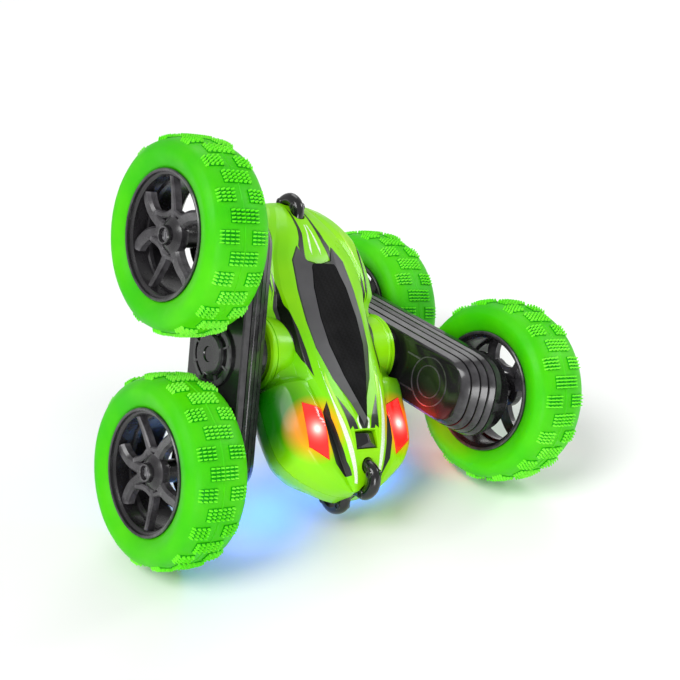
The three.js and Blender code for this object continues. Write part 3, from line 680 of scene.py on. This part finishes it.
def arm_outer_case(side, place):
    skin = loft([arm_ring(*band) for band in OUTER_BANDS])
    bosses = []
    for end in (1, -1):
        boss = [(60.0, 21.6), (69.0, 21.4), (69.8, 20.8), (70.0, 20.0)]
        bosses.append(disc(boss, 64, (end * AXLE_Y, 0)))
    middle = disc([(62.0, 16.4), (64.6, 16.4), (65.3, 15.7), (65.4, 13.0)], 64)
    joined = combine(skin, bosses + [middle], "UNION")
    cuts = [loft([arm_ring(56.0, 19.6, 75.0), arm_ring(61.5, 20.0, 76.0)])]
    for end in (1, -1):
        cuts.append(disc([(61.0, 18.4), (68.2, 18.4)], 40, (end * AXLE_Y, 0)))
        cuts.append(disc([(60.0, 2.6), (71.0, 2.6)], 24, (end * AXLE_Y, 0)))
        cuts.append(lathe([(69.3, 13.0), (69.3, 14.2), (71.0, 14.2), (71.0, 13.0)], 64, (end * AXLE_Y, 0)))
        slot = [(end * 20.0, -13.5), (end * 34.0, -15.5), (end * 34.0, 15.5), (end * 20.0, 13.5)]
        cuts.append(prism(slot, 62.7, 64.0, "x"))
    cuts.append(lathe([(64.7, 11.2), (64.7, 13.6), (66.0, 13.6), (66.0, 11.2)], 64))
    shape = Shape().add(*combine(joined, cuts))
    shape.add(*disc([(64.8, 10.6), (66.6, 10.4), (67.2, 9.6), (67.2, 4.0), (66.5, 3.6)], 48))
    for k in range(8):
        turn = math.radians(45 * k + 22.5)
        across = (-math.sin(turn) * 0.5, math.cos(turn) * 0.5)
        corners = ((10.9, 1), (10.9, -1), (15.4, -1), (15.4, 1))
        rib = [
            (r * math.cos(turn) + sign * across[0], r * math.sin(turn) + sign * across[1])
            for r, sign in corners
        ]
        shape.add(*prism(rib, 64.4, 65.7, "x"))
    node = f"{side}_arm_outer_case"
    piece(f"{node}_detailed", shape, place, f"{side}_arm", [ARM_PLASTIC], [node], sharp=28)


# ------------------------------------------------------------------ body shells
# Half sections of a shell: the station along the body; its skin from the seam to the spine as (x, height);
# and the crown's height.
SHELL_ROWS = [
    (-80.0, (9, 0), (9, 4), (8.4, 8), (7.2, 9), (6.4, 8.8), (5.6, 9.6), (4.4, 10), 10),
    (-78.0, (15.5, 0), (15, 4.6), (12.6, 9.2), (10, 10.2), (8, 9.9), (7, 11.4), (5.4, 12), 12),
    (-74.0, (24, 0), (23, 5.5), (19, 11), (14, 12.4), (10.6, 11.8), (9.6, 14.4), (7.5, 15), 15),
    (-66.0, (35.5, 0), (34, 8), (29, 15), (20.5, 15.7), (13.6, 14.2), (12.4, 18), (9.5, 18.8), 18.8),
    (-56.0, (42.2, 0), (40.8, 9), (34, 17.3), (21.5, 18.4), (16.5, 16.8), (15.3, 20.5), (12, 21.8), 22),
    (-44.0, (44, 0), (42.7, 9), (35.6, 18), (23.5, 20), (19.6, 18.4), (18.3, 22), (14.5, 23.3), 23.6),
    (-32.0, (44.2, 0), (43, 9), (36.6, 18.4), (26, 20), (22.6, 19), (21, 22.3), (19.3, 23.4), 23.6),
    (-23.0, (43.4, 0), (42.4, 8.5), (38.4, 16.4), (30, 18.8), (25.5, 19), (23.2, 21.6), (19.5, 23.4), 23.6),
    (-20.5, (41.2, 0), (40.2, 7.8), (36.8, 13), (31, 15), (27.0, 15.8), (24.2, 20.8), (19.6, 23.4), 23.6),
    (-18.0, (40, 0), (39, 7.5), (36.2, 12), (31, 13.4), (27.5, 14.6), (24.6, 20.6), (19.6, 23.4), 23.6),
    (18.0, (40, 0), (39, 7.5), (36.2, 12), (31, 13.4), (28.5, 14.6), (26, 20.4), (19.6, 23.4), 23.6),
    (21.5, (41, 0), (40, 7.8), (36.8, 13.4), (32, 15.4), (29, 16.2), (26.6, 20.6), (19.6, 23.4), 23.6),
    (26.0, (43, 0), (42, 8.5), (38.2, 16.4), (33, 18.8), (29.6, 18.6), (27.3, 20.8), (19.6, 23.4), 23.6),
    (42.0, (44, 0), (42.9, 9), (37.6, 17.8), (31.5, 20.2), (27.5, 20.1), (25.5, 21.3), (18.5, 23.2), 23.6),
    (56.0, (43, 0), (41.8, 9), (35, 17.7), (26.5, 20.2), (21.6, 20.3), (19.8, 21), (13, 22.6), 23),
    (68.0, (39.6, 0), (38, 8), (29, 15.4), (20, 17.6), (15.5, 17.7), (14, 18.2), (9, 19.3), 19.8),
    (77.0, (31, 0), (29.5, 6.5), (21.5, 12), (14.4, 13.8), (11, 13.9), (9.6, 14.3), (6, 15), 15.4),
    (81.0, (22, 0), (20.6, 5.2), (16, 9.4), (11.4, 10.8), (8.8, 10.9), (7.6, 11.2), (4.8, 11.8), 12),
    (83.0, (16, 0), (15, 4), (12, 7.4), (9, 8.5), (7, 8.8), (6, 9), (4, 9.4), 9.5),
]
CORNER_SHARES = (0.36, 0.16, 0.14, 0.05, 0.05, 0.3)
CAVITY_STATIONS = (-74, -56, -32, -23, -18, 18, 26, 56, 77)
CAVITY_POINTS = (0, 1, 2, 4)

CANOPY_EDGE = [
    (4.6, -38), (12.2, -24), (17.4, -7), (18.8, 8), (18.8, 25), (17, 42), (11.6, 50), (8.6, 42),
]
CANOPY_ROOF = [
    (3, -38), (7.5, -24), (11.4, -7), (12.2, 8), (11, 25), (9, 33), (8.4, 36.5), (7.2, 38.6),
]
CANOPY_NOSE, CANOPY_TAIL = -50.0, 39.5
LENS = [(21.6, -38.5), (32.4, -34.5), (33.4, -57), (22.6, -64)]
LENS_CENTRE = (27.4, -48.5, 18.2)


def both_sides(half, nose, tail):
    return [(0.0, nose), *half, (0.0, tail), *reversed(mirror_x(half))]


def grown(outline, distance):
    """Every edge of a closed outline moved outwards by one distance."""
    points = [np.array(p, float) for p in outline]
    area = sum(a[0] * b[1] - b[0] * a[1] for a, b in zip(points, points[1:] + points[:1]))
    turn = math.copysign(1.0, area)
    lines = []
    for a, b in zip(points, points[1:] + points[:1]):
        along = (b - a) / np.linalg.norm(b - a)
        normal = np.array((turn * along[1], -turn * along[0]))
        lines.append((normal, normal @ a + distance))
    result = []
    for (n0, d0), (n1, d1) in zip([lines[-1]] + lines[:-1], lines):
        result.append(tuple(np.linalg.solve(np.array((n0, n1)), np.array((d0, d1)))))
    return result


def dense_rows(spacing=1.6):
    """The skin's sections at close stations, each with its corners eased."""
    stations = [row[0] for row in SHELL_ROWS]
    count = int((stations[-1] - stations[0]) / spacing)
    at = sorted(set(np.round(np.linspace(stations[0], stations[-1], count), 3)) | set(stations))
    columns = []
    for k in range(7):
        columns.append([pchip(stations, [row[1 + k][axis] for row in SHELL_ROWS], at) for axis in (0, 1)])
    crown = pchip(stations, [row[8] for row in SHELL_ROWS], at)
    rows = []
    for i, s in enumerate(at):
        points = [(columns[k][0][i], columns[k][1][i]) for k in range(7)] + [(0.0, crown[i])]
        rows.append((s, rounded(points, CORNER_SHARES)))
    return rows


def skin_solid():
    rings = []
    for s, half in dense_rows():
        right = [(x, s, max(h, SEAM_H)) for x, h in half]
        rings.append(right + [(-x, s, h) for x, _, h in reversed(right[:-1])])
    return loft(rings)


def cavity_solid():
    rings = []
    for row in SHELL_ROWS:
        if row[0] not in CAVITY_STATIONS:
            continue
        narrow = (row[1][0] - WALL) / row[1][0]
        half = [(row[1 + k][0] * narrow, row[0], row[1 + k][1] - WALL) for k in CAVITY_POINTS]
        half[0] = (half[0][0], row[0], -1.0)
        rings.append(half + [(-x, s, h) for x, s, h in reversed(half)])
    return loft(rings)


def block(x0, x1, y0, y1, z0, z1):
    return prism([(x0, y0), (x1, y0), (x1, y1), (x0, y1)], z0, z1)


def mirrored_solid(solid):
    verts, faces = solid
    verts = [(-x, y, z) for x, y, z in verts]
    return verts, outward(verts, faces)


def half_collar():
    """The green boss round the pivot, with a recess for the arm's disc, cut level with the seam."""
    outside = disc([
        (22.2, 18.2), (36.6, 19.6), (37.0, COLLAR_R), (40.4, COLLAR_R), (41.0, 19.5), (COLLAR_X, 18.7),
    ], 72)
    recess = disc([(39.6, 17.3), (43.0, 17.3)], 64)
    groove = lathe([(38.2, 19.4), (38.2, 21.0), (38.8, 21.0), (38.8, 19.4)], 72)
    return combine(outside, [recess, groove, block(20, 60, -40, 40, -40, SEAM_H)])


def outer_solid():
    collar = half_collar()
    return combine(skin_solid(), [collar, mirrored_solid(collar)], "UNION")


def shell(half, place):
    cuts = [cavity_solid(), prism(grown(both_sides(CANOPY_EDGE, CANOPY_NOSE, CANOPY_TAIL), 0.35), 10, 40)]
    inside = combine(disc([(20, 16.0), (38.8, 17.6)], 32), [disc([(34, 12.6), (50, 12.6)], 32)])
    bore = disc([(15, SLEEVE_HOLE_R), (50, SLEEVE_HOLE_R)], 32)
    lens = prism(grown(LENS, 0.3), 12.5, 30)
    for tool in (inside, bore, lens):
        cuts += [tool, mirrored_solid(tool)]
    cuts.append(block(-7.0, 7.0, -61.4, -52.1, 16.8, 40))
    for root, path in ((FRONT_BUMPER_ROOT, FRONT_BUMPER), (REAR_BUMPER_ROOT, REAR_BUMPER)):
        hole = [root, *path]
        cuts.append(swept_tube(hole + [(y, -z) for y, z in reversed(hole[:-1])], BUMPER_R + 0.5))
    if half == "lower":
        cuts.append(block(-2.0, 5.0, 52.6, 56.4, 10, 40))
    # Fine panel lines along both flanks of the rear deck.
    for x_sign in (1, -1):
        line = [(35.2, 60), (33.4, 46), (31.4, 26), (31.9, 26), (34.0, 46), (35.8, 60)]
        line = [(x_sign * x, y) for x, y in line]
        cuts.append(combine(prism(line, 12, 30), [skin_lowered(0.55)], "DIFFERENCE"))
    shape = Shape().add(*combine(OUTER, cuts))
    node = f"{half}_shell"
    return piece(f"{node}_moulded", shape, place, "chassis", [SHELL_PAINT], [node], sharp=26)


def skin_lowered(depth):
    verts, faces = skin_solid()
    return [(x, y, z - depth) for x, y, z in verts], faces


def canopy(place, node):
    edge = both_sides(CANOPY_EDGE, CANOPY_NOSE, CANOPY_TAIL)
    roof = both_sides(CANOPY_ROOF, CANOPY_NOSE + 3, CANOPY_TAIL - 0.6)
    levels = [
        (edge, 20.2), (edge, 23.3), (grown(edge, -0.25), 23.7), (roof, 26.7), (grown(roof, -0.35), 27.0),
    ]
    rings = [[(x, y, h) for x, y in outline] for outline, h in levels]
    outside = loft(rings)
    hollow = [(x * 0.84, y * 0.84) for x, y in edge]
    hollow_roof = [(x * 0.84, y * 0.84) for x, y in roof]
    inside = loft([
        [(x, y, 19.0) for x, y in hollow], [(x, y, 22.6) for x, y in hollow],
        [(x, y, 24.8) for x, y in hollow_roof],
    ])
    verts, faces = combine(outside, [inside])
    shape = Shape()
    for face in faces:
        points = np.array([verts[i] for i in face])
        # The roof keeps the black; the sloping facets below it take grey, a painted reflection.
        slot = 0 if points[:, 2].min() > 26.5 else 1
        shape.add(points, [tuple(range(len(face)))], slot)
    weld(shape)
    piece(f"{node}_polished", shape, place, "chassis", [CANOPY_TOP, FACET_GREY_PAINTED_REFLECTION], [node], sharp=12)


def weld(shape):
    """Shares the vertices that lie in one place."""
    index, verts, remap = {}, [], []
    for v in shape.verts:
        key = tuple(np.round(v, 4))
        if key not in index:
            index[key] = len(verts)
            verts.append(v)
        remap.append(index[key])
    shape.verts = verts
    shape.faces = [tuple(remap[i] for i in face) for face in shape.faces]


def nose_block(half, place):
    node = f"{half}_nose_block"
    rings = []
    for h, half_width, inset in ((17.3, 6.5, 0.0), (20.4, 6.5, 0.0), (23.7, 0.5, 1.8), (24.0, 0.3, 2.0)):
        y0, y1 = -60.9 + inset, -52.6 - inset
        rings.append([(-half_width, y0, h), (half_width, y0, h), (half_width, y1, h), (-half_width, y1, h)])
    shape = Shape().add(*loft(rings))
    piece(f"{node}_faceted", shape, place, "chassis", [BLACK_PLASTIC], [node], 20, 0.25)


def swept_tube(path, radius, steps=90, sides=20):
    """A round tube in the x = 0 plane along a smooth curve through (y, z) points, with rounded ends."""
    knots = np.concatenate(([0], np.cumsum([math.dist(a, b) for a, b in zip(path, path[1:])])))
    at = np.linspace(0, knots[-1], steps)
    ys = spline(knots, [p[0] for p in path], at)
    zs = spline(knots, [p[1] for p in path], at)
    rings = []
    for i in range(steps):
        a, b = max(i - 1, 0), min(i + 1, steps - 1)
        along = np.array((ys[b] - ys[a], zs[b] - zs[a]))
        along /= np.linalg.norm(along)
        normal = (-along[1], along[0])
        end = min(i, steps - 1 - i)
        r = radius * (0.7, 0.92, 1.0)[min(end, 2)]
        turns = [2 * math.pi * k / sides for k in range(sides)]
        rings.append([
            (r * math.sin(t), ys[i] + r * math.cos(t) * normal[0], zs[i] + r * math.cos(t) * normal[1])
            for t in turns
        ])
    return loft(rings)


def spline(knots, values, at):
    """A Catmull-Rom curve through values at uneven knots."""
    knots, values = np.array(knots, float), np.array(values, float)
    tangent = np.gradient(values, knots)
    i = np.clip(np.searchsorted(knots, at) - 1, 0, len(knots) - 2)
    step = knots[i + 1] - knots[i]
    t = (at - knots[i]) / step
    return (
        (2 * t**3 - 3 * t**2 + 1) * values[i]
        + (t**3 - 2 * t**2 + t) * step * tangent[i]
        + (3 * t**2 - 2 * t**3) * values[i + 1]
        + (t**3 - t**2) * step * tangent[i + 1]
    )


FRONT_BUMPER = [(-65.6, 11.4), (-69, 17.2), (-74.6, 20), (-80.3, 16.6), (-81.6, 9.8), (-77.6, 5), (-76.4, 0)]
FRONT_BUMPER_ROOT = (-64, 6.5)
REAR_BUMPER = [(66.6, 10.5), (70.2, 16.4), (75.8, 19.2), (81.6, 16.4), (83.2, 10), (80.6, 5), (79.8, 0)]
REAR_BUMPER_ROOT = (65, 6)


def bumper(name, half, place):
    path = half + [(y, -z) for y, z in reversed(half[:-1])]
    shape = Shape().add(*swept_tube(path, BUMPER_R))
    # Moulded ribs round the tube, two on each lobe.
    rib = [(-3.9, 1.0), (-3.9, 1.8), (-3.6, 2.1), (3.6, 2.1), (3.9, 1.8), (3.9, 1.0)]
    for y, z in (half[2], half[4]):
        for sign in (1, -1):
            shape.add(*lathe(rib, 20, (y, sign * z)))
    piece(f"{name}_tube", shape, place, "chassis", [BLACK_PLASTIC], [name], sharp=40)


def lens_piece(half, x_sign, place, material):
    side = "left" if x_sign > 0 else "right"
    node = f"{half}_{side}_lens"
    outline = [(x_sign * x, y) for x, y in LENS]
    centre = np.mean(np.array(outline), axis=0)
    levels = ((14.4, 1.0, None), (0.05, 1.0, "skin"), (0.3, 0.92, "skin"), (0.35, 0.5, "skin"))
    rings = []
    for height, share, base in levels:
        ring = []
        for a, b in zip(outline, outline[1:] + outline[:1]):
            for k in range(6):
                x, y = np.array(a) + (np.array(b) - np.array(a)) * k / 6
                x, y = centre + (np.array((x, y)) - centre) * share
                ring.append((x, y, skin_height(x, y) + height if base else height))
        rings.append(ring)
    shape = Shape().add(*loft(rings))
    piece(f"{node}_fluted", shape, place, "chassis", [material], [node], sharp=30)


OUTER = outer_solid()
SKIN_TREE = BVHTree.FromPolygons([Vector(v) for v in OUTER[0]], OUTER[1])


def skin_height(x, y):
    hit = SKIN_TREE.ray_cast(Vector((x, y, 60.0)), Vector((0, 0, -1)))[0]
    return hit.z if hit else 0.0


# Printed graphics: material key and outline (x, y) on one side; each is printed on both sides.
GRAPHICS = [
    ("black", [(19.9, -35.5), (21.6, -46), (20.9, -56), (18.2, -66), (12.6, -72.6), (9.9, -73), (12.7, -66),
               (15.6, -56), (18.6, -44)]),
    ("white", [(18.9, -14), (18.4, -24), (16.0, -36), (12.6, -48), (9.0, -62), (6.0, -77), (7.6, -76.5),
               (11.8, -62), (15.2, -47), (17.6, -31)]),
    ("pale", [(16.6, -20), (15.2, -30), (12.6, -40), (10.0, -50), (8.6, -58), (7.4, -70), (6.2, -76),
              (8.6, -62), (12.0, -48.5), (15.4, -36.5), (17.8, -24)]),
    ("black", [(22.6, -22), (25.6, -12), (28.0, 2), (30.0, 13), (31.0, 24), (30.4, 37), (28.4, 25),
               (26.0, 15), (24.0, 4), (23.0, -8)]),
    ("black", [(13.4, -33.5), (8.2, -42), (5.8, -46), (4.2, -51.4), (6.8, -51.4), (7.6, -49.6), (9.6, -51.4),
               (11.2, -42)]),
    ("black", [(0, -44), (2.4, -44.6), (3.0, -48), (1.6, -51.2), (0, -51.4)]),
    ("white", [(2.6, -44.4), (4.2, -46.6), (3.2, -51.4), (1.9, -51.4), (3.2, -47.6)]),
    ("black", [(4.5, 78), (5.6, 70), (6.6, 62), (8.4, 55), (10.4, 50.5), (9.9, 46), (8.4, 41), (7.9, 46),
               (6.6, 52), (5.2, 58), (4.7, 66)]),
    ("white", [(0.5, 64), (1.2, 58), (1.9, 52), (3.0, 45.2), (3.5, 48.5), (2.9, 53.5), (1.6, 60), (0.9, 64)]),
    ("black", [(36.2, 62), (34.2, 48), (32.0, 30), (31.9, 22), (33.0, 30), (35.0, 46), (36.8, 58)]),
    ("pale", [(24.2, 60), (27.6, 50), (29.6, 41), (28.6, 54), (25.6, 64)]),
]
INKS = {"black": INK_BLACK, "white": INK_WHITE, "pale": INK_PALE}
PRINT_TOP, PRINT_DEPTH = 0.13, 0.4


def print_patch(outline):
    """A thin film that follows the skin under an outline."""
    raised, lowered = [
        ([(x, y, z + lift) for x, y, z in OUTER[0]], OUTER[1]) for lift in (PRINT_TOP, -PRINT_DEPTH)
    ]
    ink = combine(prism(outline, 1.0, 40.0), [raised], "INTERSECT")
    return combine(ink, [lowered])


def graphics(half, place):
    for ink, material in INKS.items():
        shape = Shape()
        for name, outline in GRAPHICS:
            if name == ink:
                for x_sign in (1, -1):
                    shape.add(*print_patch([(x_sign * x, y) for x, y in outline]))
        piece(f"{half}_print_{ink}", shape, place, "chassis", [material], sharp=40)


# ------------------------------------------------------------------ the car
def lens_world(half, x_sign):
    return body_frame(half) @ Vector((x_sign * LENS_CENTRE[0], LENS_CENTRE[1], LENS_CENTRE[2]))


# Where the painted shade lies on each front pod's flank, and how far it reaches.
FLANK_SHADE = [(body_frame(half) @ Vector((sign * 44.0, -34.0, 3.0)), 0.030)
               for half in ("upper", "lower") for sign in (1, -1)]
LAMPS = {(half, sign): lens_world(half, sign) for half in ("upper", "lower") for sign in (1, -1)}
SHELL_PAINT = painted_shell("lime_shell", [(LAMPS["upper", sign], 0.018) for sign in (1, -1)], FLANK_SHADE)


def build_body():
    for half in ("upper", "lower"):
        place = body_frame(half)
        shell(half, place)
        canopy(place, "upper_canopy" if half == "upper" else "battery_hatch")
        nose_block(half, place)
        graphics(half, place)
        for x_sign in (1, -1):
            colours = (srgb(235, 30, 24), srgb(255, 190, 180)) if half == "upper" else (
                srgb(30, 110, 255), srgb(190, 225, 255))
            name = f"{half}_lamp_{'left' if x_sign > 0 else 'right'}"
            lens_piece(half, x_sign, place, lamp_lens(name, LAMPS[half, x_sign], *colours, 3.0))
    bumper("front_bumper", FRONT_BUMPER, body_frame("upper"))
    bumper("rear_bumper", REAR_BUMPER, body_frame("upper"))


FIRST_PAD = {"right_front": 6.6, "right_rear": 1.2, "left_front": 8.0, "left_rear": 3.0}
RIM_TURN = {"right_front": -105.0, "right_rear": -78.0, "left_front": 20.0, "left_rear": 60.0}


def build_arms():
    for side in SIDES:
        place = arm_frame(side)
        arm_inner_case(side, place)
        arm_outer_case(side, place)
        for end in ENDS:
            tyre(side, end, place, FIRST_PAD[f"{side}_{end}"])
            rim(side, end, place, RIM_TURN[f"{side}_{end}"])


# ------------------------------------------------------------------ studio
def aimed(obj, target):
    obj.rotation_euler = (Vector(target) - obj.location).to_track_quat("-Z", "Y").to_euler()


def soft_light(name, location, target, size, power, colour=(1, 1, 1)):
    data = bpy.data.lights.new(name, "AREA")
    data.shape = "DISK"
    data.size = size
    data.energy = power
    data.color = colour
    light = bpy.data.objects.new(name, data)
    light.location = location
    bpy.context.collection.objects.link(light)
    aimed(light, target)


def studio():
    scene = bpy.context.scene
    scene.view_settings.view_transform = "Standard"
    scene.view_settings.look = "None"
    world = bpy.data.worlds.new("studio")
    world.use_nodes = True
    world.node_tree.nodes["Background"].inputs["Color"].default_value = (1.0, 1.0, 1.0, 1.0)
    world.node_tree.nodes["Background"].inputs["Strength"].default_value = 0.55
    scene.world = world

    n = Nodes("pale_floor")
    fade = n.spread(n.noise(3.0, 3.0), 0.9, 0.93)
    grey = n.node("ShaderNodeCombineColor", {"Red": fade, "Green": fade, "Blue": fade})
    floor_material = n.shine(Base_Color=grey.outputs["Color"], Roughness=0.85)
    mesh = bpy.data.meshes.new("floor")
    reach = 8.0
    corners = [(x * reach, y * reach, 0) for x, y in ((-1, -1), (1, -1), (1, 1), (-1, 1))]
    mesh.from_pydata(corners, [], [(0, 1, 2, 3)])
    mesh.materials.append(floor_material)
    floor = bpy.data.objects.new("floor", mesh)
    bpy.context.collection.objects.link(floor)

    for name, towards, power in (("key", (0.62, 0.10, -0.78), 1.75), ("fill", (-0.5, -0.5, -0.7), 0.45)):
        data = bpy.data.lights.new(name, "SUN")
        data.angle = 0.55
        data.energy = power
        sun = bpy.data.objects.new(name, data)
        sun.rotation_euler = Vector(towards).to_track_quat("-Z", "Y").to_euler()
        bpy.context.collection.objects.link(sun)
    soft_light("front_box", (-0.5, -1.1, 0.22), (0, 0, 0.07), 0.5, 5)
    soft_light("side_box", (1.1, -0.35, 0.6), (0, 0, 0.08), 0.35, 3)

    # The lamps light what is near them: the lower pair the floor under the nose, the upper left one its arm.
    down = (body_frame("lower").to_3x3() @ Vector((0, 0, 1))).normalized()
    for x_sign in (1, -1):
        start = LAMPS["lower", x_sign] + down * 0.006
        target = start + down + Vector((0.3 * x_sign, -0.4, 0))
        name = f"blue_glow_{'left' if x_sign > 0 else 'right'}"
        soft_light(name, start, target, 0.016, 0.034, (0.02, 0.20, 1.0))
    data = bpy.data.lights.new("red_glow", "SPOT")
    data.spot_size = 1.9
    data.spot_blend = 1.0
    data.shadow_soft_size = 0.003
    data.energy = 0.12
    data.color = (1.0, 0.03, 0.02)
    spot = bpy.data.objects.new("red_glow", data)
    spot.location = body_frame("upper") @ Vector((34.5, -47.0, 22.0))
    bpy.context.collection.objects.link(spot)
    aimed(spot, body_frame("upper") @ Vector((45.2, -45.0, 20.0)))


def camera():
    data = bpy.data.cameras.new("camera")
    data.lens = 73.9
    data.sensor_width = 36.0
    cam = bpy.data.objects.new("camera", data)
    right = Vector((0.79376, -0.60792, -0.01886))
    up = Vector((0.30372, 0.36931, 0.87823))
    turn = Matrix((right, up, right.cross(up))).transposed()
    cam.matrix_world = Matrix.Translation(PIVOT + Vector((-0.3743, -0.5236, 0.3567))) @ turn.to_4x4()
    bpy.context.collection.objects.link(cam)
    bpy.context.scene.camera = cam


camera()
finish_cad_nodes()
build_arms()
build_body()
studio()
